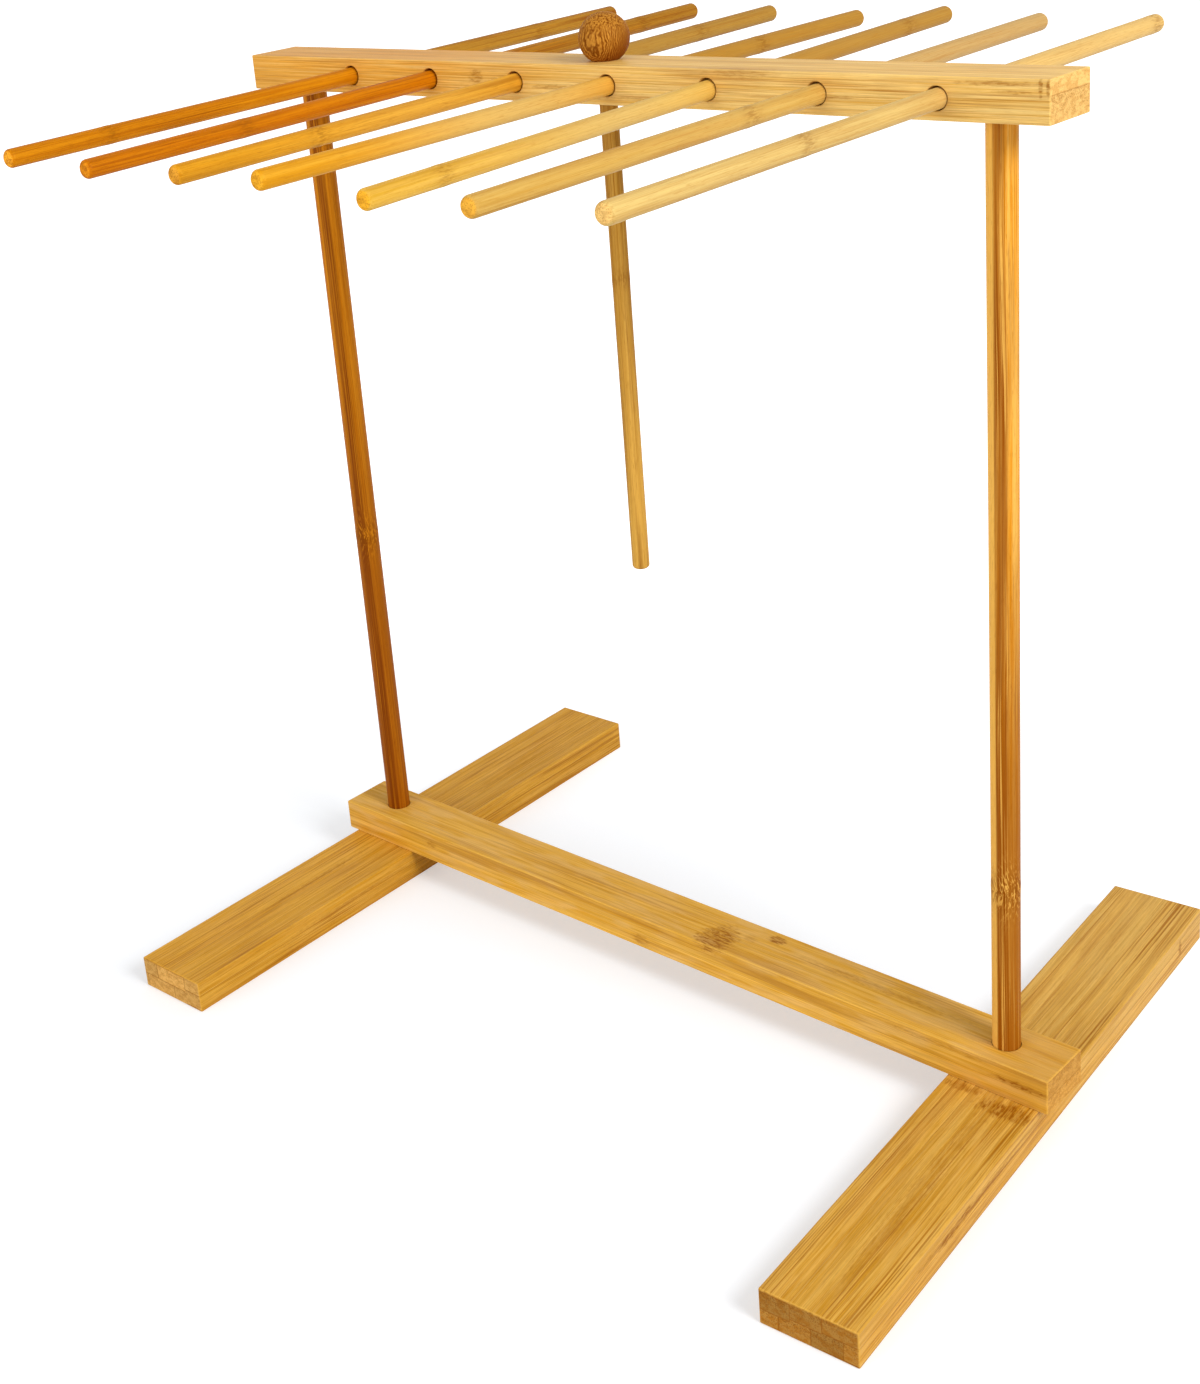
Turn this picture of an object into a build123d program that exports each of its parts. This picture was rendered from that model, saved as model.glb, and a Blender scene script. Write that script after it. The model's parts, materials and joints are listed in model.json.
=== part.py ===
from build123d import *
import os
from math import radians, tan

# A free-standing drying rack of laminated bamboo. Two plank feet carry a stretcher, two round posts rise from
# the stretcher to a top beam, and seven loose rods pass through the beam from front to back. A wand with a
# ball knob hangs in a hole of its own near the middle of the beam. X runs along the beam, Y from front to back.
# The origin is on the floor, midway between the posts. All lengths are in millimetres.

# Boards: the feet, the stretcher and the beam are cut from strip of one thickness
board_thickness = 16.0
bar_length = 420.0
bar_width = 28.0
bar_edge_radius = 0.6
foot_length = 328.0
foot_width = 42.0
foot_edge_radius = 0.7

# Each foot stands as it was left on its screw, turned a little out of square to the stretcher, in degrees
foot_left_turn = 1.5
foot_right_turn = 4.4

# Posts
post_diameter = 12.0
post_inset = 26.5
post_open_height = 387.5
post_foot_seat_depth = 10.5
post_foot_clearance = 0.15
post_head_seat_depth = 10.0
post_head_clearance = 0.05
post_end_chamfer = 0.8

# Drying rods
rod_count = 7
rod_diameter = 8.0
rod_length = 370.0
rod_row_inset = 30.5
rod_clearance = 0.5
rod_end_radius = 2.2
hole_edge_chamfer = 0.3

# How the loose rods lie: pushed forward by a share of the longest push, and tipped or swung until the rod has
# moved at the mouth of its hole by a share of the clearance there
longest_rod_push = 23.0
rod_push_shares = (0.65, 0.60, 0.58, 0.71, 0.78, 1.00, 0.84)
rod_tip_shares = (0.43, 0.66, 0.51, 0.25, 0.62, 0.27, 0.14)
rod_swing_shares = (0.34, 0.50, -0.06, 0.01, -0.54, -0.79, -0.83)

# Wand: its hole was bored a little beside the beam's middle
wand_x = 1.0
wand_diameter = 8.0
wand_clearance = 0.5
wand_hole_web = 2.5
wand_hang = 210.5
wand_end_radius = 1.6
ball_diameter = 21.4
ball_flat_drop = 9.0
ball_socket_depth = 11.0
ball_socket_clearance = 0.05

# Screws: one comes up through each foot and the stretcher into the end grain of the post
screw_diameter = 4.0
screw_length = 45.0
screw_head_diameter = 8.0
screw_head_angle = 90.0
screw_tip_length = 5.0
screw_tip_diameter = 0.8
screw_sink_depth = 0.6
screw_running_clearance = 0.08
screw_head_clearance = 0.2
pilot_extra_depth = 2.0
recess_span = 4.6
recess_width = 0.9
recess_depth = 1.4

# One overrun serves every cut that passes right through a board
cut_overrun = 5.0

# Heights and places that follow from the sizes above
stretcher_bottom = board_thickness
stretcher_top = stretcher_bottom + board_thickness
beam_bottom = stretcher_top + post_open_height
beam_top = beam_bottom + board_thickness
rod_height = (beam_bottom + beam_top) / 2
post_x = bar_length / 2 - post_inset
post_bottom = stretcher_top - post_foot_seat_depth
post_top = beam_bottom + post_head_seat_depth
rod_radius = rod_diameter / 2
rod_hole_radius = rod_radius + rod_clearance
wand_radius = wand_diameter / 2
wand_hole_radius = wand_radius + wand_clearance
ball_radius = ball_diameter / 2
ball_height = beam_top + ball_flat_drop
screw_radius = screw_diameter / 2
screw_head_radius = screw_head_diameter / 2
screw_head_height = (screw_head_radius - screw_radius) / tan(radians(screw_head_angle / 2))
screw_top = screw_sink_depth + screw_length
screw_run_radius = screw_radius + screw_running_clearance

# The row of rods spans the room between the posts, and stands off centre so that the middle rod's hole leaves
# a web of wood beside the wand's hole
rod_pitch = (post_x - rod_row_inset) * 2 / (rod_count - 1)
rod_row_offset = wand_x + rod_hole_radius + wand_hole_web + wand_hole_radius

os.makedirs("parts", exist_ok=True)


def save(piece, name):
    """Labels a finished piece and writes it under its own name."""
    piece.part.label = name
    export_step(piece.part, f"parts/{name}.step")


# Feet: a plank each, with a plain hole for the screw that it turns on and a countersink in the sole
def make_foot(name, centre_x, turn):
    with BuildPart() as foot:
        with BuildSketch(Plane.XY):
            with Locations((centre_x, 0)):
                Rectangle(foot_width, foot_length, rotation=turn)
        extrude(amount=board_thickness)
        fillet(foot.edges(), foot_edge_radius)
        with BuildSketch(Plane.XY):
            with Locations((centre_x, 0)):
                Circle(screw_run_radius)
        extrude(amount=board_thickness, mode=Mode.SUBTRACT)
        sink_radius = screw_head_radius + screw_head_clearance
        with BuildSketch(Plane.XY):
            with Locations((centre_x, 0)):
                Circle(sink_radius)
        extrude(amount=screw_sink_depth, mode=Mode.SUBTRACT)
        with BuildSketch(Plane.XY.offset(screw_sink_depth)):
            with Locations((centre_x, 0)):
                Circle(sink_radius)
        extrude(amount=sink_radius - screw_run_radius, taper=screw_head_angle / 2, mode=Mode.SUBTRACT)
    save(foot, name)


make_foot("foot_left", -post_x, foot_left_turn)
make_foot("foot_right", post_x, foot_right_turn)

# Stretcher: the bar that lies across both feet, with a seat for each post and a screw hole under it
with BuildPart() as base_stretcher:
    with BuildSketch(Plane.XY.offset(stretcher_bottom)):
        Rectangle(bar_length, bar_width)
    extrude(amount=board_thickness)
    fillet(base_stretcher.edges(), bar_edge_radius)
    with BuildSketch(Plane.XY.offset(post_bottom)):
        with Locations((-post_x, 0), (post_x, 0)):
            Circle(post_diameter / 2 + post_foot_clearance)
    extrude(amount=post_foot_seat_depth, mode=Mode.SUBTRACT)
    with BuildSketch(Plane.XY.offset(stretcher_bottom)):
        with Locations((-post_x, 0), (post_x, 0)):
            Circle(screw_run_radius)
    extrude(amount=post_bottom - stretcher_bottom, mode=Mode.SUBTRACT)
save(base_stretcher, "base_stretcher")


# Posts: round dowels with chamfered ends and a pilot hole for the screw in the lower one
def make_post(name, centre_x):
    with BuildPart() as post:
        with BuildSketch(Plane.XY.offset(post_bottom)):
            with Locations((centre_x, 0)):
                Circle(post_diameter / 2)
        extrude(amount=post_top - post_bottom)
        chamfer(post.edges().filter_by(GeomType.CIRCLE), post_end_chamfer)
        with BuildSketch(Plane.XY.offset(post_bottom)):
            with Locations((centre_x, 0)):
                Circle(screw_radius)
        extrude(amount=screw_top + pilot_extra_depth - post_bottom, mode=Mode.SUBTRACT)
    save(post, name)


make_post("post_left", -post_x)
make_post("post_right", post_x)

# Top beam: a bar like the stretcher, bored from front to back for the rods and from above for the wand, with
# a blind seat for each post in its underside. The row of rods stands off centre to leave room for the wand.
with BuildPart() as top_beam:
    with BuildSketch(Plane.XY.offset(beam_bottom)):
        Rectangle(bar_length, bar_width)
    extrude(amount=board_thickness)
    fillet(top_beam.edges(), bar_edge_radius)
    with BuildSketch(Plane.XZ):
        with Locations((rod_row_offset, rod_height)):
            with GridLocations(rod_pitch, rod_pitch, rod_count, 1):
                Circle(rod_hole_radius)
    extrude(amount=bar_width / 2 + cut_overrun, both=True, mode=Mode.SUBTRACT)
    chamfer(top_beam.edges(Select.LAST).filter_by(GeomType.CIRCLE), hole_edge_chamfer)
    with BuildSketch(Plane.XY.offset(beam_bottom)):
        with Locations((wand_x, 0)):
            Circle(wand_hole_radius)
    extrude(amount=board_thickness, mode=Mode.SUBTRACT)
    chamfer(top_beam.edges(Select.LAST).filter_by(GeomType.CIRCLE), hole_edge_chamfer)
    with BuildSketch(Plane.XY.offset(beam_bottom)):
        with Locations((-post_x, 0), (post_x, 0)):
            Circle(post_diameter / 2 + post_head_clearance)
    extrude(amount=post_head_seat_depth, mode=Mode.SUBTRACT)
save(top_beam, "top_beam")

# Drying rods: round dowels with rounded ends. Each lies in its hole as a loose rod does, so its own axis is
# worked out from how far it has moved at the hole's mouth, and it slides along that axis.
mouth_distance = bar_width / 2
first_rod_x = rod_row_offset - rod_pitch * (rod_count - 1) / 2

for index in range(rod_count):
    push = longest_rod_push * rod_push_shares[index % len(rod_push_shares)]
    swing = rod_clearance * rod_swing_shares[index % len(rod_swing_shares)]
    tip = rod_clearance * rod_tip_shares[index % len(rod_tip_shares)]
    rod_plane = Plane(
        origin=(first_rod_x + rod_pitch * index, 0, rod_height),
        z_dir=(swing, mouth_distance, tip),
    )
    with BuildPart() as drying_rod:
        with BuildSketch(rod_plane.offset(-rod_length / 2 - push)):
            Circle(rod_radius)
        extrude(amount=rod_length)
        fillet(drying_rod.edges().filter_by(GeomType.CIRCLE), rod_end_radius)
    save(drying_rod, f"drying_rod_{index + 1}")

# Wand stick: a dowel that hangs through the beam, with its upper end glued into the ball
with BuildPart() as wand_stick:
    with BuildSketch(Plane.XY.offset(beam_bottom - wand_hang)):
        with Locations((wand_x, 0)):
            Circle(wand_radius)
    extrude(amount=wand_hang + board_thickness + ball_socket_depth)
    fillet(wand_stick.edges().group_by(Axis.Z)[0], wand_end_radius)
save(wand_stick, "wand_stick")

# Wand ball: a turned knob with a flat that sits on the beam and a blind socket for the stick
with BuildPart() as wand_ball:
    with BuildSketch(Plane.XZ):
        with Locations((wand_x, ball_height)):
            Circle(ball_radius)
        with Locations((wand_x, beam_top)):
            Rectangle(ball_diameter, ball_diameter, align=(Align.CENTER, Align.MAX), mode=Mode.SUBTRACT)
        with Locations((wand_x, ball_height)):
            Rectangle(ball_radius, ball_diameter, align=(Align.MAX, Align.CENTER), mode=Mode.SUBTRACT)
    revolve(axis=Axis((wand_x, 0, 0), (0, 0, 1)))
    with BuildSketch(Plane.XY.offset(beam_top)):
        with Locations((wand_x, 0)):
            Circle(wand_radius + ball_socket_clearance)
    extrude(amount=ball_socket_depth, mode=Mode.SUBTRACT)
save(wand_ball, "wand_ball")

# Foot screws: countersunk wood screws with a tapered tip and a cross recess in the head
with BuildPart() as foot_screws:
    for centre_x in (-post_x, post_x):
        with BuildSketch(Plane(origin=(centre_x, 0, 0), x_dir=(1, 0, 0), z_dir=(0, -1, 0))):
            with BuildLine():
                Polyline(
                    (0, screw_sink_depth),
                    (screw_head_radius, screw_sink_depth),
                    (screw_radius, screw_sink_depth + screw_head_height),
                    (screw_radius, screw_top - screw_tip_length),
                    (screw_tip_diameter / 2, screw_top),
                    (0, screw_top),
                    close=True,
                )
            make_face()
        revolve(axis=Axis((centre_x, 0, 0), (0, 0, 1)))
    with BuildSketch(Plane.XY.offset(screw_sink_depth)):
        with Locations((-post_x, 0), (post_x, 0)):
            Rectangle(recess_span, recess_width)
            Rectangle(recess_width, recess_span)
    extrude(amount=recess_depth, mode=Mode.SUBTRACT)
save(foot_screws, "foot_screws")
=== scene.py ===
import json
import math
import random
from collections import namedtuple

import bmesh
import bpy
from mathutils import Matrix, Vector


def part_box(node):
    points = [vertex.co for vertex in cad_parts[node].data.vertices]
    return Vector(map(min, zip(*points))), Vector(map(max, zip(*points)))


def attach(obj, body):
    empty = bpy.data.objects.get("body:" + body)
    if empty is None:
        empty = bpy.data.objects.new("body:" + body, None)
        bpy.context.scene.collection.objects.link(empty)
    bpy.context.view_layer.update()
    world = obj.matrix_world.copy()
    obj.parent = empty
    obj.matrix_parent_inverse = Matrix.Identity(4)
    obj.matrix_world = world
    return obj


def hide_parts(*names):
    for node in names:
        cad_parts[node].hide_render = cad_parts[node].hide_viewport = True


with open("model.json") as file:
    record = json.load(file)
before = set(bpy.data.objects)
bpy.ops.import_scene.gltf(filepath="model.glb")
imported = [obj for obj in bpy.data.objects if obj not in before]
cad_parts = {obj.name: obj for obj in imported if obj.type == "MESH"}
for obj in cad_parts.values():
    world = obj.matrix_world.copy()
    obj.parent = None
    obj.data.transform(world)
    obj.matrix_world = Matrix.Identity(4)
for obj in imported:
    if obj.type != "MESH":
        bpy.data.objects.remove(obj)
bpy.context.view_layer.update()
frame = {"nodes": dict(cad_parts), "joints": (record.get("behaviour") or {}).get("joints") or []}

# The finished look of a bamboo drying rack: planks, bars and dowels of honey-coloured bamboo, a brown turned
# knob and steel screws, on a white floor in soft light. Lengths are in metres unless a name says otherwise.

MM = 0.001

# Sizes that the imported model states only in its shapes
BAR_EDGE_RADIUS = 0.6 * MM
FOOT_EDGE_RADIUS = 0.7 * MM
FOOT_LENGTH = 328 * MM
FOOT_WIDTH = 42 * MM
FOOT_TURN_DEGREES = {"foot_left": 1.5, "foot_right": 4.4}
ROD_LENGTH = 370 * MM
ROD_RADIUS = 4 * MM
ROD_END_RADIUS = 2.2 * MM
ROD_HOLE_RADIUS = 4.5 * MM
WAND_HOLE_RADIUS = 4.5 * MM
WAND_END_RADIUS = 1.6 * MM
HOLE_EASING = 0.3 * MM
POST_END_RADIUS = 0.8 * MM
POST_SEAT_CLEARANCE = 0.15 * MM
POST_HEAD_CLEARANCE = 0.05 * MM
POST_HEAD_SEAT = 10 * MM
SCREW_RADIUS = 2 * MM
SCREW_CLEARANCE = 0.08 * MM
SCREW_HEAD_RADIUS = 4 * MM
SCREW_HEAD_CLEARANCE = 0.2 * MM
SCREW_SINK = 0.6 * MM
BALL_RADIUS = 10.7 * MM
BALL_SOCKET_DEPTH = 11 * MM
BALL_SOCKET_CLEARANCE = 0.05 * MM


def shade(red, green, blue):
    """A colour given in the 0 to 255 of a picture, turned into the linear values that a shader wants."""
    linear = []
    for value in (red, green, blue):
        part = value / 255
        linear.append(part / 12.92 if part <= 0.04045 else ((part + 0.055) / 1.055) ** 2.4)
    return (*linear, 1.0)


# Wiring of node trees

NUMBER, COLOUR, VECTOR = "NodeSocketFloat", "NodeSocketColor", "NodeSocketVector"


class Wiring:
    """Adds nodes to one tree and joins them, so that a pattern reads as a list of steps."""

    def __init__(self, tree):
        self.tree = tree

    def put(self, socket, value):
        if isinstance(value, bpy.types.NodeSocket):
            self.tree.links.new(value, socket)
        elif value is not None:
            socket.default_value = value

    def node(self, kind, values=(), **settings):
        made = self.tree.nodes.new(kind)
        for name, setting in settings.items():
            setattr(made, name, setting)
        for key, value in dict(values).items():
            self.put(made.inputs[key], value)
        return made

    def math(self, operation, first, second=None, clamp=False):
        values = {0: first, 1: second}
        return self.node("ShaderNodeMath", values, operation=operation, use_clamp=clamp).outputs[0]

    def add(self, *parts):
        total = parts[0]
        for part in parts[1:]:
            total = self.math("ADD", total, part)
        return total

    def times(self, *parts):
        total = parts[0]
        for part in parts[1:]:
            total = self.math("MULTIPLY", total, part)
        return total

    def minus(self, first, second):
        return self.math("SUBTRACT", first, second)

    def over(self, first, second):
        return self.math("DIVIDE", first, second)

    def size(self, value):
        return self.math("ABSOLUTE", value)

    def vector_math(self, operation, first, second=None):
        made = self.node("ShaderNodeVectorMath", {0: first, 1: second}, operation=operation)
        return made.outputs["Value" if operation in ("DOT_PRODUCT", "LENGTH") else "Vector"]

    def combine(self, x, y, z):
        return self.node("ShaderNodeCombineXYZ", {0: x, 1: y, 2: z}).outputs[0]

    def separate(self, vector):
        return self.node("ShaderNodeSeparateXYZ", {0: vector}).outputs

    def noise(self, place, scale, detail=2.0, roughness=0.5):
        values = {"Vector": place, "Scale": scale, "Detail": detail, "Roughness": roughness}
        return self.node("ShaderNodeTexNoise", values).outputs[0]

    def drawn_noise(self, place, scales, detail=2.0, roughness=0.5):
        """Noise with a scale of its own along each axis."""
        return self.noise(self.vector_math("MULTIPLY", place, scales), 1.0, detail, roughness)

    def random(self, place):
        return self.node("ShaderNodeTexWhiteNoise", {"Vector": place}).outputs

    def spread(self, value, low, high, to_low=0.0, to_high=1.0):
        """Maps low to high onto to_low to to_high with soft ends."""
        values = {0: value, 1: low, 2: high, 3: to_low, 4: to_high}
        return self.node("ShaderNodeMapRange", values, interpolation_type="SMOOTHSTEP").outputs[0]

    def bell(self, distance, width):
        """A smooth hump, 1 where the distance is 0 and near 0 past twice the width."""
        ratio = self.over(distance, width)
        return self.math("EXPONENT", self.times(ratio, ratio, -1.0))

    def blend(self, factor, first, second):
        return self.node("ShaderNodeMix", {0: factor, 6: first, 7: second}, data_type="RGBA").outputs[2]

    def dim(self, colour, amount):
        return self.vector_math("MULTIPLY", colour, self.combine(amount, amount, amount))


def open_group(name, kind, inputs, outputs):
    """A node group with named inputs, given as (name, type, default), and outputs, given as (name, type)."""
    group = bpy.data.node_groups.new(name, kind)
    for title, socket_type, default in inputs:
        socket = group.interface.new_socket(title, in_out="INPUT", socket_type=socket_type)
        if default is not None:
            socket.default_value = default
    for title, socket_type in outputs:
        group.interface.new_socket(title, in_out="OUTPUT", socket_type=socket_type)
    wiring = Wiring(group)
    source = wiring.node("NodeGroupInput").outputs
    sink = wiring.node("NodeGroupOutput").inputs
    return group, wiring, source, sink


def socket_titles(values):
    """Values given under plain names, such as strip_width, under the titles of a group's sockets."""
    return {name.replace("_", " ").title(): value for name, value in values.items()}


# Bamboo

# What a piece can say of its bamboo. Lengths are in millimetres, and the rest are mostly shares from 0 to 1.
BAMBOO_INPUTS = (
    ("Place", VECTOR, None), ("Normal", VECTOR, None), ("Half Size", VECTOR, (1000, 1000, 1000)),
    ("Strip Width", NUMBER, 20.0), ("Strip Shift", NUMBER, 0.0),
    ("Layer Depth", NUMBER, 8.0), ("Layer Shift", NUMBER, 0.0), ("Glue Lines", NUMBER, 1.0),
    ("Joint Spacing", NUMBER, 190.0), ("Joint Shift", NUMBER, 0.0), ("Joint Scatter", NUMBER, 1.0),
    ("Joint Strength", NUMBER, 1.0), ("Joint Width", NUMBER, 4.5), ("Joint Ring", NUMBER, 0.45),
    ("Joint Lean", NUMBER, 0.0), ("Fleck Stretch", NUMBER, 0.30),
    ("Bands", NUMBER, 0.5), ("Lines", NUMBER, 0.5), ("Line Stretch", NUMBER, 0.0045),
    ("Hairs", NUMBER, 0.30), ("Mottle", NUMBER, 0.0), ("Mottle Tint", COLOUR, shade(222, 174, 92)),
    ("Pores", NUMBER, 0.5), ("Tone Spread", NUMBER, 1.0), ("Edge Light", NUMBER, 0.5),
    ("Marks", NUMBER, 0.0), ("Skin", VECTOR, (0, 0, 0)), ("Skin Edge", NUMBER, 0.25),
    ("Skin Tone", NUMBER, 0.0), ("Pale Side", VECTOR, (0, 0, 0)),
    ("Seed", NUMBER, 0.0), ("Far Start", NUMBER, 0.0), ("Far End", NUMBER, 100.0),
    ("Far Amount", NUMBER, 0.0), ("Far", COLOUR, shade(180, 130, 60)),
    ("Waist Place", NUMBER, -55.0), ("Waist Reach", NUMBER, 60.0), ("Waist Amount", NUMBER, 0.0),
    ("Waist", COLOUR, shade(210, 176, 104)),
    ("Pale", COLOUR, shade(226, 178, 100)), ("Honey", COLOUR, shade(206, 152, 70)),
    ("Brown", COLOUR, shade(160, 100, 34)), ("Knot", COLOUR, shade(124, 66, 0)),
    ("End", COLOUR, shade(206, 160, 90)), ("End Grain", NUMBER, 0.40),
)
BAMBOO_OUTPUTS = (("Colour", COLOUR), ("Roughness", NUMBER), ("Height", NUMBER))

# How far the fibres wander, the strips vary in width and the joints waver, in millimetres
FIBRE_WANDER = 2.6
STRIP_UNEVENNESS = 9.0
JOINT_WAVER = 6.0
# The step from strip to strip of the glue line between two layers, in millimetres, and the shift of the
# strips from layer to layer, as a share of their width
LAYER_STEP = 3.0
LAYER_STAGGER = 0.43
# How far apart the patterns of two slats can lie, so that none carries on in its neighbour
SLAT_JUMP_ACROSS, SLAT_JUMP_DEEP, SLAT_JUMP_ALONG = 91.0, 37.0, 53.0

# Where a point lies: its place in the grain frame, the place across with the wandering of the fibres, the
# strip and the layer counted in their own widths, and the chance values that its slat has for itself
Grain = namedtuple("Grain", "across depth along fibre strip_place layer_place tone jump green blue")
Streaks = namedtuple("Streaks", "band middle vein line fine hair dash")


def find_grain(w, given):
    """Follows the fibres, and finds which strip and which layer a point lies in."""
    across, depth, along = w.separate(given["Place"])
    seed = given["Seed"]
    drift_place = w.combine(w.times(across, 0.02), seed, w.times(along, 0.008))
    drift = w.times(w.minus(w.noise(drift_place, 1.0, 1.0), 0.5), FIBRE_WANDER)
    fibre = w.add(across, drift)

    # Strips are of uneven width, and each has a glue line of its own between the layers
    uneven = w.noise(w.combine(w.times(across, 0.11), seed, 0.0), 1.0, 0.0)
    swayed = w.add(across, w.times(w.minus(uneven, 0.5), STRIP_UNEVENNESS))
    strip_place = w.add(w.over(swayed, given["Strip Width"]), 0.5, given["Strip Shift"])
    chance = w.random(w.combine(w.math("FLOOR", strip_place), seed, 3.7))["Value"]
    step = w.times(w.minus(chance, 0.5), given["Glue Lines"], LAYER_STEP)
    layer_place = w.add(w.over(w.add(depth, step), given["Layer Depth"]), given["Layer Shift"])
    layer = w.math("FLOOR", layer_place)
    strip_place = w.add(strip_place, w.times(layer, given["Glue Lines"], LAYER_STAGGER))
    slat = w.combine(w.math("FLOOR", strip_place), layer, seed)
    tone = w.random(slat)["Value"]
    red, green, blue = w.separate(w.random(w.vector_math("ADD", slat, (7.3, 2.1, 5.9)))["Color"])
    jump = w.times(red, SLAT_JUMP_ACROSS)
    return Grain(across, depth, along, fibre, strip_place, layer_place, tone, jump, green, blue)


def streak(w, grain, scale, stretch, detail, roughness=0.55):
    """Noise that is drawn out along the grain: the smaller its stretch, the longer each streak."""
    place = w.combine(
        w.add(grain.fibre, grain.jump),
        w.add(grain.depth, w.times(grain.green, SLAT_JUMP_DEEP)),
        w.add(w.times(grain.along, stretch), w.times(grain.blue, SLAT_JUMP_ALONG)),
    )
    return w.noise(place, scale, detail, roughness)


def draw_streaks(w, given, grain):
    """Streaks of several widths, from broad bands to single hairs."""
    return Streaks(
        band=streak(w, grain, scale=0.17, stretch=0.040, detail=2.0),
        middle=streak(w, grain, scale=0.60, stretch=0.016, detail=3.0),
        vein=streak(w, grain, scale=0.85, stretch=0.010, detail=1.0, roughness=0.35),
        line=streak(w, grain, scale=2.1, stretch=given["Line Stretch"], detail=1.0, roughness=0.35),
        fine=streak(w, grain, scale=3.0, stretch=0.010, detail=2.0),
        hair=streak(w, grain, scale=5.5, stretch=0.012, detail=1.0),
        dash=streak(w, grain, scale=3.2, stretch=0.060, detail=1.0),
    )


def cane_joints(w, given, grain):
    """Joints of the cane: a wavering line across each slat, with flecks along it. Returns the flecks, the
    pale wood that shows among them and the dark mark that they make."""
    spacing, width = given["Joint Spacing"], given["Joint Width"]
    shift = w.add(given["Joint Shift"], w.times(grain.tone, spacing, given["Joint Scatter"]))
    turns = w.over(w.add(grain.along, shift), spacing)
    waver = w.times(w.minus(streak(w, grain, scale=0.9, stretch=0.02, detail=2.0), 0.5), JOINT_WAVER)
    from_joint = w.add(w.times(w.minus(w.math("FRACT", turns), 0.5), spacing), waver)
    lean = w.times(w.size(from_joint), given["Joint Lean"])
    fleck_across = w.times(w.add(grain.fibre, grain.jump, lean), 1.5)
    fleck_along = given["Fleck Stretch"]
    fleck_place = w.combine(fleck_across, w.times(grain.depth, 1.5), w.times(grain.along, fleck_along))
    fleck_noise = w.noise(fleck_place, 0.9, 2.0, 0.6)
    fleck = w.spread(fleck_noise, 0.42, 0.60)
    light = w.times(w.bell(from_joint, w.times(width, 1.3)), given["Joint Lean"], 2.0)
    light = w.times(light, w.spread(fleck_noise, 0.48, 0.36))
    mark = w.times(w.bell(from_joint, width), w.add(w.times(fleck, 0.85), 0.10))
    mark = w.math("MAXIMUM", mark, w.times(w.bell(from_joint, 0.8), given["Joint Ring"]))
    return fleck, light, w.times(mark, given["Joint Strength"])


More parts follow.
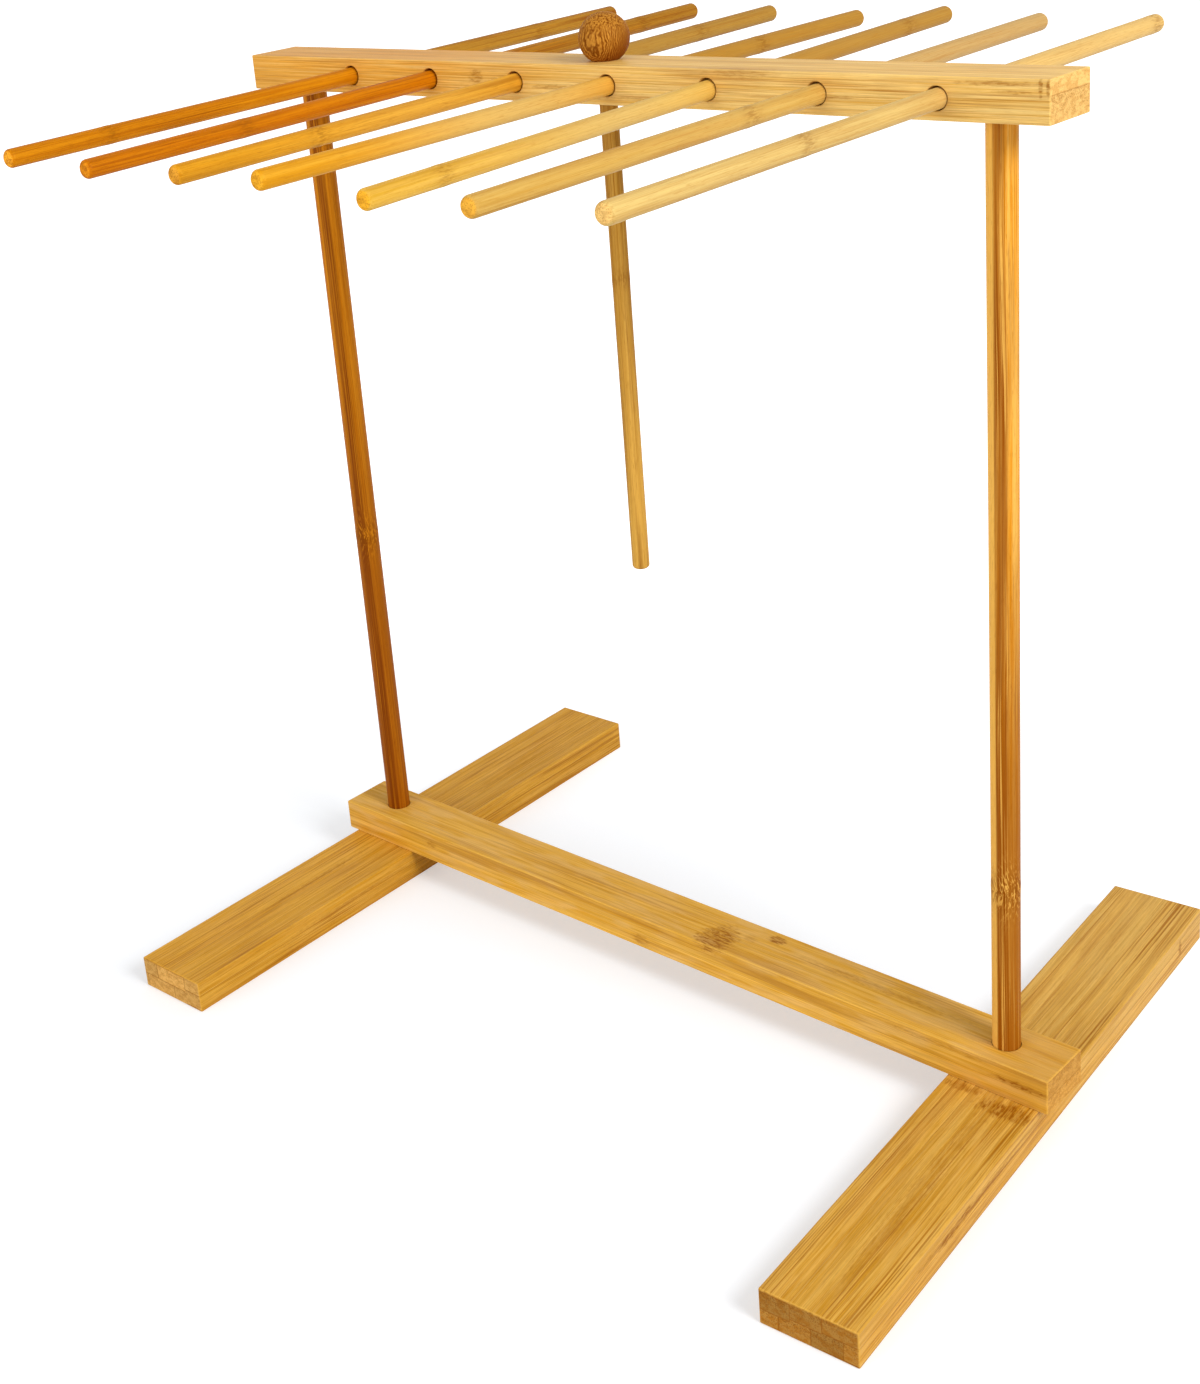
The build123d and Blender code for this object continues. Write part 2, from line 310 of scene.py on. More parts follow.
def paint_long_faces(w, given, grain, streaks, joint_light, dark_mark):
    """Colour of the faces along the grain. Returns it with the lines and the dashes, which also lie lower."""
    across, depth, along, seed = grain.across, grain.depth, grain.along, given["Seed"]

    # Towards the skin of the cane the fibres crowd and the wood is darker. A painted highlight makes one side
    # pale, as if lit from that side
    skin = w.spread(w.vector_math("DOT_PRODUCT", given["Place"], given["Skin"]), given["Skin Edge"], 0.96)
    # Painted highlight: a pale band down one side of the piece
    pale_side = w.spread(w.vector_math("DOT_PRODUCT", given["Place"], given["Pale Side"]), 0.84, 0.91)
    pale_side = w.times(pale_side, 0.90)
    crowd = w.add(0.55, w.times(skin, 0.9), w.times(grain.blue, given["Tone Spread"], 0.9))
    crowd = w.times(given["Lines"], crowd)
    patch_place = w.combine(w.times(across, 0.09), w.add(seed, w.times(depth, 0.09)), w.times(along, 0.016))
    crowd = w.times(crowd, w.spread(w.noise(patch_place, 1.0, 1.0), 0.38, 0.60, 0.35, 1.15))
    crowd = w.times(crowd, w.minus(1.0, w.times(pale_side, 0.75)))

    # The ground, from honey to pale, with the tints that single pieces have
    tone = w.add(w.times(streaks.middle, 0.65), w.times(streaks.fine, 0.35))
    colour = w.blend(w.spread(tone, 0.36, 0.62), given["Honey"], given["Pale"])
    mottle_place = w.combine(
        w.times(grain.fibre, 0.16), w.add(seed, w.times(depth, 0.16)), w.times(along, 0.035)
    )
    mottle = w.noise(w.vector_math("ADD", mottle_place, (3.1, 0, 0)), 1.0, 2.0)
    colour = w.blend(w.times(w.spread(mottle, 0.44, 0.64), given["Mottle"]), colour, given["Mottle Tint"])
    waist = w.bell(w.minus(along, given["Waist Place"]), given["Waist Reach"])
    colour = w.blend(w.times(waist, given["Waist Amount"]), colour, given["Waist"])
    far = w.times(w.spread(along, given["Far Start"], given["Far End"]), given["Far Amount"])
    colour = w.blend(far, colour, given["Far"])
    colour = w.blend(w.times(skin, given["Skin Tone"]), colour, given["Brown"])
    colour = w.blend(pale_side, colour, given["Pale"])

    # Streaks over the ground, the broad ones first
    band_mask = w.spread(w.add(streaks.band, w.times(streaks.middle, 0.5), w.times(skin, 0.10)), 0.78, 1.00)
    band_mask = w.times(band_mask, w.minus(1.0, pale_side))
    colour = w.blend(w.times(band_mask, given["Bands"]), colour, given["Brown"])
    vein_mask = w.spread(streaks.vein, 0.56, 0.68)
    vein_patches = w.spread(streak(w, grain, scale=0.30, stretch=0.030, detail=1.0), 0.40, 0.60)
    colour = w.blend(w.times(vein_mask, vein_patches, crowd, 0.75), colour, given["Brown"])
    line_mask = w.spread(streaks.line, 0.52, 0.66)
    colour = w.blend(w.times(line_mask, crowd, 0.60), colour, given["Brown"])
    colour = w.blend(w.times(w.spread(streaks.line, 0.46, 0.34), crowd, 0.55), colour, given["Pale"])
    fine_mask = w.times(w.spread(streaks.fine, 0.54, 0.70), crowd, 0.45)
    colour = w.blend(fine_mask, colour, given["Brown"])
    dash_mask = w.times(w.spread(streaks.dash, 0.58, 0.70), given["Pores"])
    colour = w.blend(w.times(dash_mask, 0.70), colour, given["Brown"])
    hair_tone = w.add(w.times(w.minus(streaks.hair, 0.5), given["Hairs"]), 1.0)
    slat_tone = w.add(w.times(w.minus(grain.tone, 0.5), given["Tone Spread"], 0.20), 1.0)
    colour = w.dim(colour, w.times(slat_tone, hair_tone))
    colour = w.blend(w.times(joint_light, w.minus(1.0, pale_side)), colour, given["Pale"])
    colour = w.blend(w.times(dark_mark, 0.95), colour, given["Knot"])
    return colour, line_mask, dash_mask


def glue_lines(w, given, grain):
    """1 on the seams between strips and between layers, and 0 beside them."""
    def from_seam(place, size):
        share = w.minus(w.math("FRACT", place), 0.5)
        return w.times(w.minus(0.5, w.size(share)), size)

    beside_strip = from_seam(grain.strip_place, given["Strip Width"])
    seam = w.math("MINIMUM", beside_strip, from_seam(grain.layer_place, given["Layer Depth"]))
    return w.times(w.spread(seam, 0.08, 0.28, 1.0, 0.0), given["Glue Lines"])


def paint_end_grain(w, given, grain, glue):
    """Colour of the ends: a pale ground with dark pores, which grow towards the outside of the cane. Returns
    it with the pores."""
    pore_place = w.combine(w.add(grain.across, grain.jump), grain.depth, w.times(grain.along, 0.05))
    cells = w.node("ShaderNodeTexVoronoi", {"Vector": pore_place, "Scale": 1.7, "Randomness": 0.9})
    pore_size = w.add(w.times(w.math("FRACT", grain.layer_place), 0.26), 0.22)
    pore = w.spread(w.over(cells.outputs["Distance"], pore_size), 0.75, 1.25, 1.0, 0.0)
    cloud = w.noise(w.combine(grain.across, w.times(grain.depth, 1.6), grain.jump), 0.30, 3.0, 0.6)
    cloud = w.times(w.spread(cloud, 0.40, 0.62), given["End Grain"])
    ground = w.blend(cloud, w.dim(given["End"], 1.12), given["Brown"])
    colour = w.blend(w.times(pore, given["End Grain"]), ground, w.dim(given["Brown"], 0.65))
    slat_tone = w.add(w.times(w.minus(grain.tone, 0.5), given["Tone Spread"], 0.32), 1.0)
    colour = w.dim(colour, slat_tone)
    return w.blend(w.times(glue, 0.85), colour, given["Knot"]), pore


def edge_wear_and_highlight(w, given, grain):
    """How far an edge is made pale, partly as rubbed wear and partly as a painted highlight: a point near two
    faces at once lies on an edge.
    """
    halves = w.separate(given["Half Size"])
    places = (grain.across, grain.depth, grain.along)
    near = [w.minus(half, w.size(place)) for half, place in zip(halves, places)]
    smaller, larger = w.math("MINIMUM", near[0], near[1]), w.math("MAXIMUM", near[0], near[1])
    from_edge = w.math("MAXIMUM", smaller, w.math("MINIMUM", larger, near[2]))
    rub = w.drawn_noise(given["Place"], (0.5, 0.5, 0.09), 3.0)
    wear_and_highlight = w.times(w.spread(from_edge, 0.15, 0.95, 1.0, 0.0), w.spread(rub, 0.30, 0.62, 0.30, 1.0))
    return w.times(wear_and_highlight, given["Edge Light"])


def bamboo_group():
    """Bamboo seen in its own grain frame, in millimetres: X across, Y through the thickness, Z along the
    grain. Strips and layers are the glued slats of a board; a dowel is cut from one slat."""
    group, w, given, made = open_group("bamboo", "ShaderNodeTree", BAMBOO_INPUTS, BAMBOO_OUTPUTS)
    grain = find_grain(w, given)
    streaks = draw_streaks(w, given, grain)
    fleck, joint_light, joint_mark = cane_joints(w, given, grain)
    placed_marks = w.times(given["Marks"], w.add(w.times(fleck, 0.62), 0.38))
    dark_mark = w.math("MAXIMUM", joint_mark, placed_marks)
    colour, line_mask, dash_mask = paint_long_faces(w, given, grain, streaks, joint_light, dark_mark)
    glue = glue_lines(w, given, grain)
    colour = w.blend(w.times(glue, 0.60), colour, given["Brown"])
    end_colour, pore = paint_end_grain(w, given, grain, glue)
    end_mask = w.spread(w.size(w.separate(given["Normal"])[2]), 0.55, 0.85)
    colour = w.blend(end_mask, colour, end_colour)
    # Edges paler: partly wear, partly a painted highlight
    colour = w.blend(edge_wear_and_highlight(w, given, grain), colour, given["Pale"])

    # Gloss and relief
    gloss = w.add(w.times(streaks.fine, 0.16), w.times(end_mask, 0.20), w.times(dark_mark, 0.10), 0.38)
    relief = w.add(
        w.times(streaks.fine, 0.45), w.times(streaks.hair, 0.30),
        w.times(line_mask, -0.35), w.times(dash_mask, -0.45),
    )
    relief = w.add(relief, w.times(dark_mark, -0.6), w.times(glue, -0.6), w.times(pore, end_mask, -0.9))
    w.put(made["Colour"], colour)
    w.put(made["Roughness"], gloss)
    w.put(made["Height"], relief)
    return group


# A single dark mark in a piece's grain frame: its centre and its half sizes, in millimetres
Mark = namedtuple("Mark", "across depth along wide deep long strength")


def open_tree(owner):
    """The node tree of a material or of the world, emptied, ready for wiring."""
    owner.use_nodes = True
    owner.node_tree.nodes.clear()
    return Wiring(owner.node_tree)


def open_material(name):
    material = bpy.data.materials.new(name)
    wiring = open_tree(material)
    shader = wiring.node("ShaderNodeBsdfPrincipled")
    wiring.node("ShaderNodeOutputMaterial", {"Surface": shader.outputs[0]})
    return material, wiring, shader


def coat(wiring, shader, colour, roughness, height, bump, depth):
    """Joins a colour, a roughness and a relief to a shader. The depth of the relief is in metres, and bump is
    the share of it that shows."""
    relief = wiring.node("ShaderNodeBump", {"Strength": bump, "Distance": depth, "Height": height})
    for title, value in (("Base Color", colour), ("Roughness", roughness), ("Normal", relief.outputs[0])):
        wiring.put(shader.inputs[title], value)


def grain_inputs(wiring, placement):
    """Place in millimetres and normal, both in the grain frame that the placement matrix gives."""
    source = wiring.node("ShaderNodeTexCoord").outputs
    turn = placement.to_euler()
    spot = {"Vector": source["Object"], "Location": placement.to_translation(), "Scale": (MM, MM, MM)}
    place = wiring.node("ShaderNodeMapping", {**spot, "Rotation": turn}, vector_type="TEXTURE")
    facing = {"Vector": source["Normal"], "Rotation": turn}
    normal = wiring.node("ShaderNodeMapping", facing, vector_type="TEXTURE")
    return place.outputs[0], normal.outputs[0]


def mark_mask(wiring, place, marks):
    """1 inside the marks and 0 outside, with ragged edges."""
    ragged = wiring.times(wiring.minus(wiring.drawn_noise(place, (0.9, 0.9, 0.35)), 0.5), 1.1)
    mask = None
    for mark in marks:
        centred = wiring.vector_math("SUBTRACT", place, (mark.across, mark.depth, mark.along))
        scaled = wiring.vector_math("DIVIDE", centred, (mark.wide, mark.deep, mark.long))
        distance = wiring.add(wiring.vector_math("LENGTH", scaled), ragged)
        one = wiring.spread(distance, 0.45, 1.1, mark.strength, 0.0)
        mask = one if mask is None else wiring.math("MAXIMUM", mask, one)
    return mask


def bamboo_finish(name, group, placement, half_size, marks=(), shine=0.10, **settings):
    """Bamboo for one piece. half_size is in metres along the grain frame's axes."""
    material, wiring, shader = open_material(name)
    place, normal = grain_inputs(wiring, placement)
    given = {
        "Place": place, "Normal": normal, "Half Size": tuple(value / MM for value in half_size),
        "Marks": mark_mask(wiring, place, marks), **socket_titles(settings),
    }
    made = wiring.node("ShaderNodeGroup", given, node_tree=group).outputs
    coat(wiring, shader, made["Colour"], made["Roughness"], made["Height"], bump=0.6, depth=0.12 * MM)
    shader.inputs["Specular IOR Level"].default_value = shine
    return material


# Knob wood: brown, its grain upright. The growth layers show as tall ovals where they lie flush with the
# ball, and on top, where the fibres end, as fine flecks. The ovals face the side that this turn gives.

KNOB_OVALS_DEGREES = -81


def knob_finish(centre):
    material, w, shader = open_material("knob_wood")
    turn = Matrix.Rotation(math.radians(KNOB_OVALS_DEGREES), 4, "Z")
    place, _ = grain_inputs(w, Matrix.Translation(centre) @ turn)
    outward, _, upward = w.separate(place)
    wander = w.drawn_noise(place, (0.20, 0.20, 0.10))
    ripple = w.drawn_noise(place, (0.9, 0.9, 0.45), 1.0)
    layers = w.add(outward, w.times(upward, upward, 0.030), w.times(wander, 3.0), w.times(ripple, 0.7))
    rings = w.add(w.times(layers, 1.5), 0.5)
    band = w.spread(w.size(w.minus(w.math("FRACT", rings), 0.5)), 0.08, 0.42)
    fibre = w.drawn_noise(place, (1.7, 1.7, 0.30), 2.0, 0.6)
    fleck = w.spread(w.drawn_noise(place, (1.6, 1.6, 0.7), 1.0), 0.46, 0.60)
    top = w.spread(upward, 1.0, 8.0)
    colour = w.blend(w.blend(top, band, w.minus(1.0, fleck)), shade(118, 62, 4), shade(192, 130, 46))
    colour = w.blend(w.times(w.spread(fibre, 0.42, 0.62), 0.45), colour, shade(146, 84, 14))
    # Painted shade: darker towards the knob's bottom and one side
    shadowed = w.spread(w.vector_math("DOT_PRODUCT", place, (-0.35, 0.62, -0.70)), 1.5, 9.5)
    colour = w.blend(w.times(shadowed, 0.70), colour, shade(116, 54, 6))
    roughness = w.add(w.times(fibre, 0.18), 0.46)
    coat(w, shader, colour, roughness, w.add(fibre, w.times(fleck, -0.5)), bump=0.5, depth=0.10 * MM)
    shader.inputs["Specular IOR Level"].default_value = 0.04
    return material


def steel_finish():
    material, w, shader = open_material("zinc_plated_steel")
    place = w.vector_math("MULTIPLY", w.node("ShaderNodeTexCoord").outputs["Object"], (1000, 1000, 1000))
    blotch = w.noise(place, 0.7, 3.0)
    scratch = w.drawn_noise(place, (6.0, 1.0, 6.0))
    colour = w.blend(blotch, shade(176, 174, 160), shade(206, 206, 202))
    roughness = w.add(w.times(scratch, 0.25), 0.25)
    coat(w, shader, colour, roughness, scratch, bump=0.3, depth=0.03 * MM)
    shader.inputs["Metallic"].default_value = 1.0
    return material


# Making and placing pieces

UP = Vector((0, 0, 1))
BACK = Vector((0, 1, 0))


def grain_frame(centre, along, through=UP):
    """A placement matrix whose Z runs along the grain and whose Y is as near as can be to through."""
    z = Vector(along).normalized()
    x = through.cross(z).normalized()
    y = z.cross(x)
    return Matrix.LocRotScale(Vector(centre), Matrix((x, y, z)).transposed(), None)


def bring_in(name, data):
    """Puts a mesh, a lamp or a camera into the scene."""
    thing = bpy.data.objects.new(name, data)
    bpy.context.scene.collection.objects.link(thing)
    return thing


def link(mesh, name, material):
    piece = bring_in(name, mesh)
    mesh.materials.clear()
    mesh.materials.append(material)
    return piece


def discard(piece):
    mesh = piece.data
    bpy.data.objects.remove(piece)
    bpy.data.meshes.remove(mesh)


def settle(piece, material):
    """Turns a piece and its modifiers into a plain mesh at the origin."""
    graph = bpy.context.evaluated_depsgraph_get()
    mesh = bpy.data.meshes.new_from_object(piece.evaluated_get(graph))
    name = piece.name
    discard(piece)
    mesh.name = name
    return link(mesh, name, material)


def circle(radius, height, sides):
    """A level ring of points about the Z axis."""
    turns = [2 * math.pi * side / sides for side in range(sides)]
    return [(radius * math.cos(turn), radius * math.sin(turn), height) for turn in turns]


def mesh_of(rings, name, tips=None):
    """A closed skin over a row of rings, each a list of points. It ends flat, or in tips if two are given."""
    shape = bmesh.new()
    rows = [[shape.verts.new(point) for point in ring] for ring in rings]
    sides = len(rows[0])
    for first, second in zip(rows, rows[1:]):
        for index in range(sides):
            after = (index + 1) % sides
            shape.faces.new((first[index], first[after], second[after], second[index]))
    if tips:
        for row, tip in zip((rows[0], rows[-1]), tips):
            point = shape.verts.new(tip)
            for index in range(sides):
                shape.faces.new((row[index], row[(index + 1) % sides], point))
    else:
        shape.faces.new(list(reversed(rows[0])))
        shape.faces.new(rows[-1])
    bmesh.ops.recalc_face_normals(shape, faces=shape.faces)
    mesh = bpy.data.meshes.new(name)
    shape.to_mesh(mesh)
    shape.free()
    return mesh


# Planks

# Each eased edge is an arc of a few steps. At every station a new radius is drawn, up to a share of itself
# smaller, and the edge moves part of the way there. Spare points beside each arc keep its shading off the
# flat faces.
CORNER_STEPS = 4
PLANK_STATION = 6 * MM
EASING_WAVER_SHARE = 0.35
EASING_PACE_SHARE = 0.5
SUPPORT_SHARE = 0.35
SMALLEST_ARC = 0.02 * MM


def plank_section(half_width, half_depth, radii, inset):
    """A rectangle with four rounded corners, drawn in by inset, with a spare point beside each arc."""
    points = []
    corners = ((1, 1), (-1, 1), (-1, -1), (1, -1))
    for quarter, ((side_x, side_y), radius) in enumerate(zip(corners, radii)):
        centre = Vector((side_x * (half_width - radius), side_y * (half_depth - radius)))
        arm = max(radius - inset, SMALLEST_ARC)
        start = quarter * math.pi / 2
        arc = [start + math.pi / 2 * step / CORNER_STEPS for step in range(CORNER_STEPS + 1)]
        ring = [centre + arm * Vector((math.cos(angle), math.sin(angle))) for angle in arc]
        spare = radius * SUPPORT_SHARE
        before = ring[0] + spare * Vector((math.sin(start), -math.cos(start)))
        after = ring[-1] + spare * Vector((-math.cos(start), -math.sin(start)))
        points.extend([before, *ring, after])
    return points


def plank_mesh(name, placement, half_width, half_depth, half_length, edge_radius, seed):
    """A sanded plank, its edges eased by a radius that wavers a little along each edge."""
    draw = random.Random(seed)
    count = round(2 * half_length / PLANK_STATION)
    quarter = [math.pi / 2 * step / CORNER_STEPS for step in range(CORNER_STEPS + 1)]
    ends = [edge_radius * (1 - math.cos(angle)) for angle in quarter]
    inner = half_length - edge_radius * (1 + SUPPORT_SHARE)
    places = [-half_length + depth for depth in ends]
    places += [-inner + 2 * inner * step / count for step in range(count + 1)]
    places += [half_length - depth for depth in reversed(ends)]
    waver = [1.0] * 4
    rings = []
    for place in places:
        from_end = half_length - abs(place)
        lift = max(edge_radius - from_end, 0.0)
        inset = edge_radius - math.sqrt(max(edge_radius ** 2 - lift ** 2, 0.0))
        for corner in range(4):
            target = 1 - EASING_WAVER_SHARE * draw.random()
            waver[corner] += (target - waver[corner]) * EASING_PACE_SHARE
        radii = [edge_radius * value for value in waver]
        rings.append([(x, y, place) for x, y in plank_section(half_width, half_depth, radii, inset)])
    mesh = mesh_of(rings, name)
    mesh.transform(placement)
    return mesh


HOLE_SIDES = 64
CUT_OVERRUN = 3 * MM
UPRIGHT_COSINE = 0.9
SHARP_FROM = math.radians(32)


def drill(point, direction, radius, length, flare=0.0):
    """A cutter about a point: a cylinder that overruns its length at both ends, and may flare out at both of
    the faces that it leaves through."""
    half = length / 2
    profile = [(-half - CUT_OVERRUN, radius), (half + CUT_OVERRUN, radius)]
    if flare:
        wide = radius + flare + CUT_OVERRUN
        profile = [
            (-half - CUT_OVERRUN, wide), (-half + flare, radius), (half - flare, radius),
            (half + CUT_OVERRUN, wide),
        ]
    through = BACK if abs(direction[2]) > UPRIGHT_COSINE else UP
    mesh = mesh_of([circle(width, place, HOLE_SIDES) for place, width in profile], "drill")
    mesh.transform(grain_frame(point, direction, through))
    return bring_in("drill", mesh)


def finish_plank(mesh, name, material, cutters):
    """Bores the plank and gives it smooth, evenly weighted shading."""
    piece = link(mesh, name, material)
    for cutter in cutters:
        cut = piece.modifiers.new("bore", "BOOLEAN")
        cut.operation = "DIFFERENCE"
        cut.solver = "EXACT"
        cut.object = cutter
    piece = settle(piece, material)
    for cutter in cutters:
        discard(cutter)
    piece.data.shade_smooth()
    piece.data.set_sharp_from_angle(angle=SHARP_FROM)
    even = piece.modifiers.new("even", "WEIGHTED_NORMAL")
    even.keep_sharp = True
    return settle(piece, material)


# Dowels

DOWEL_INPUTS = (
    ("Length", NUMBER, ROD_LENGTH), ("Radius", NUMBER, ROD_RADIUS), ("End Rounding", NUMBER, ROD_END_RADIUS),
    ("Rings", "NodeSocketInt", 320), ("Sides", "NodeSocketInt", 40),
    ("Joint Spacing", NUMBER, 190 * MM), ("Joint Shift", NUMBER, 0.0),
    ("Joint Swell", NUMBER, 0.10 * MM), ("Joint Width", NUMBER, 2.5 * MM),
    ("Ripple", NUMBER, 0.08 * MM), ("Seed", NUMBER, 0.0),
    ("Finish", "NodeSocketMaterial", None),
)
# The ripple follows the fibres, so it has many more waves to the metre across the dowel than along it
RIPPLE_WAVES = (420, 420, 16)


def dowel_group():
    """Geometry of a turned bamboo dowel along Z: rounded ends, faint swellings at the cane's joints and the
    slight ripple of a sanded surface."""
    given_inputs = [("Geometry", "NodeSocketGeometry", None), *DOWEL_INPUTS]
    group, w, given, made = open_group(
        "dowel", "GeometryNodeTree", given_inputs, [("Geometry", "NodeSocketGeometry")]
    )
    group.is_modifier = True
    half = w.times(given["Length"], 0.5)
    line = w.node("GeometryNodeCurvePrimitiveLine", {"Start": (0, 0, -1), "End": (0, 0, 1)})
    points = w.node("GeometryNodeResampleCurve", {"Curve": line.outputs[0], "Count": given["Rings"]})

    # Rings crowd towards the ends, where the rounding needs them
    index = w.node("GeometryNodeInputIndex").outputs[0]
    share = w.over(index, w.minus(given["Rings"], 1.0))
    place = w.times(w.math("COSINE", w.times(share, math.pi)), half, -1.0)
    spine_place = w.combine(0.0, 0.0, place)
    spine = w.node("GeometryNodeSetPosition", {"Geometry": points.outputs[0], "Position": spine_place})

    from_end = w.minus(half, w.size(place))
    lift = w.math("SUBTRACT", 1.0, w.over(from_end, given["End Rounding"]), clamp=True)
    arc = w.math("SQRT", w.math("SUBTRACT", 1.0, w.times(lift, lift), clamp=True))
    radius = w.minus(given["Radius"], given["End Rounding"])
    radius = w.add(radius, w.times(given["End Rounding"], arc))
    turns = w.over(w.add(place, given["Joint Shift"]), given["Joint Spacing"])
    from_joint = w.times(w.minus(w.math("FRACT", turns), 0.5), given["Joint Spacing"])
    swell = w.times(w.bell(from_joint, given["Joint Width"]), given["Joint Swell"])
    radius = w.minus(w.add(radius, swell), given["Joint Swell"])

    ring = w.node("GeometryNodeCurvePrimitiveCircle", {"Resolution": given["Sides"], "Radius": 1.0})
    curves = {"Curve": spine.outputs[0], "Profile Curve": ring.outputs[0], "Scale": radius}
    skin = w.node("GeometryNodeCurveToMesh", {**curves, "Fill Caps": True})

    here = w.vector_math("MULTIPLY", w.node("GeometryNodeInputPosition").outputs[0], RIPPLE_WAVES)
    here = w.vector_math("ADD", here, w.combine(given["Seed"], given["Seed"], given["Seed"]))
    ripple = w.times(w.noise(here, 1.0, 2.0), given["Ripple"], -1.0)
    outward = w.node("GeometryNodeInputNormal").outputs[0]
    push = w.node("ShaderNodeVectorMath", {0: outward, "Scale": ripple}, operation="SCALE")
    sanded = w.node("GeometryNodeSetPosition", {"Geometry": skin.outputs[0], "Offset": push.outputs[0]})
    smooth = w.node("GeometryNodeSetShadeSmooth", {"Geometry": sanded.outputs[0]})
    real = w.node("GeometryNodeRealizeInstances", {"Geometry": smooth.outputs[0]})
    coloured = w.node("GeometryNodeSetMaterial", {"Geometry": real.outputs[0], "Material": given["Finish"]})
    w.put(made["Geometry"], coloured.outputs[0])
    return group


def make_dowel(name, group, placement, material, **sizes):
    """One dowel from the group, placed along the grain frame's Z."""
    piece = bring_in(name, bpy.data.meshes.new(name))
    shape = piece.modifiers.new("dowel", "NODES")
    shape.node_group = group
    sockets = [item for item in group.interface.items_tree if item.in_out == "INPUT"]
    identifiers = {item.name: item.identifier for item in sockets}
    for title, value in socket_titles({**sizes, "finish": material}).items():
        shape[identifiers[title]] = value
    graph = bpy.context.evaluated_depsgraph_get()
    mesh = bpy.data.meshes.new_from_object(piece.evaluated_get(graph))
    discard(piece)
    mesh.transform(placement)
    return link(mesh, name, material)


# Turned pieces

TURNED_SIDES = 96


def turned_mesh(name, profile, centre):
    """A lathe shape about a vertical axis: profile is (radius, height), and begins and ends on the axis."""
    rings = [circle(radius, height, TURNED_SIDES) for radius, height in profile[1:-1]]
    tips = [(0, 0, height) for _, height in (profile[0], profile[-1])]
    mesh = mesh_of(rings, name, tips)
    mesh.transform(Matrix.Translation(centre))
    return mesh


def hand_over(piece, node, body):
    """The piece stands for its CAD node, which it hides, and moves with its body."""
    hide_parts(node)
    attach(piece, body)


def box_centre(node):
    low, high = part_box(node)
    return (low + high) / 2, (high - low) / 2


# The pieces and where they are

bamboo = bamboo_group()
dowel = dowel_group()

post_places = {side: box_centre("post_" + side) for side in ("left", "right")}
post_radius = post_places["left"][1].x

rod_slides = {joint["child"]: Vector(joint["axis"]) for joint in frame["joints"]}
rod_places = {}
for node in sorted(frame["nodes"]):
    if node.startswith("drying_rod_"):
        number = int(node.rsplit("_", 1)[1])
        rod_places[number] = (box_centre(node)[0], rod_slides[f"rod_{number}"])


# Boards

# The look that all boards start from. The joints of their cane are marks, placed one by one, so the pattern
# itself draws none.
BOARD_LOOK = {
    "pale": shade(230, 178, 76), "honey": shade(206, 146, 30), "brown": shade(158, 96, 4),
    "end": shade(194, 142, 64), "knot": shade(146, 84, 0), "line_stretch": 0.009, "hairs": 0.60,
    "joint_spacing": 500.0, "joint_strength": 0.0,
}


def add_board(node, body, placement, size, edge_radius, seed, cutters, marks, look):
    """A bored plank of bamboo for one node, with the look of all boards but for what its own changes."""
    board_look = {**BOARD_LOOK, **look}
    material = bamboo_finish(node + "_bamboo", bamboo, placement, size, marks=marks, seed=seed, **board_look)
    mesh = plank_mesh(node, placement, *size, edge_radius, seed)
    piece = finish_plank(mesh, node + "_wood", material, cutters)
    hand_over(piece, node, body)


def add_bar(node, cutters, marks, look, seed):
    """The stretcher or the beam, which both run along X."""
    centre, half = box_centre(node)
    placement = grain_frame(centre, (1, 0, 0))
    size = (half.y, half.z, half.x)
    add_board(node, "frame", placement, size, BAR_EDGE_RADIUS, seed, cutters, marks, look)


STRETCHER_MARKS = (
    Mark(across=-6.5, depth=8, along=37, wide=13, deep=5, long=11, strength=0.95),
    Mark(across=-7.5, depth=8, along=36.5, wide=5, deep=3, long=5, strength=1.0),
    Mark(across=8.3, depth=8, along=60.9, wide=4, deep=3, long=5, strength=0.95),
    Mark(across=2.3, depth=8, along=49.8, wide=3, deep=2, long=4, strength=0.40),
    Mark(across=-14, depth=-4, along=-4, wide=3, deep=3, long=6, strength=0.50),
    Mark(across=-14, depth=2, along=-145, wide=3, deep=2, long=4, strength=0.50),
    Mark(across=-14, depth=5.5, along=158, wide=4, deep=1.6, long=28, strength=0.40),
    Mark(across=-14, depth=0.8, along=197, wide=3, deep=1.8, long=15, strength=0.95),
    Mark(across=3, depth=8, along=120, wide=3, deep=2, long=46, strength=0.40),
)
STRETCHER_LOOK = {
    "strip_width": 60.0, "layer_depth": 8.0, "glue_lines": 0.5, "bands": 0.55, "lines": 0.36, "mottle": 0.80,
    "pores": 0.15, "edge_light": 0.5,
    "far_start": 165.0, "far_end": 205.0, "far_amount": 0.45, "far": shade(190, 134, 48),
}


def make_stretcher():
    """The stretcher, with a seat for each post and a screw hole below it."""
    centre, half = box_centre("base_stretcher")
    top = centre.z + half.z
    cutters = []
    for place, post_half in post_places.values():
        seat_floor = place.z - post_half.z
        reach = 2 * (top - seat_floor - CUT_OVERRUN)
        seat = Vector((place.x, 0, top))
        shank = Vector((place.x, 0, centre.z))
        cutters.append(drill(seat, UP, post_radius + POST_SEAT_CLEARANCE, reach))
        cutters.append(drill(shank, UP, SCREW_RADIUS + SCREW_CLEARANCE, 2 * half.z))
    add_bar("base_stretcher", cutters, STRETCHER_MARKS, STRETCHER_LOOK, seed=3.0)


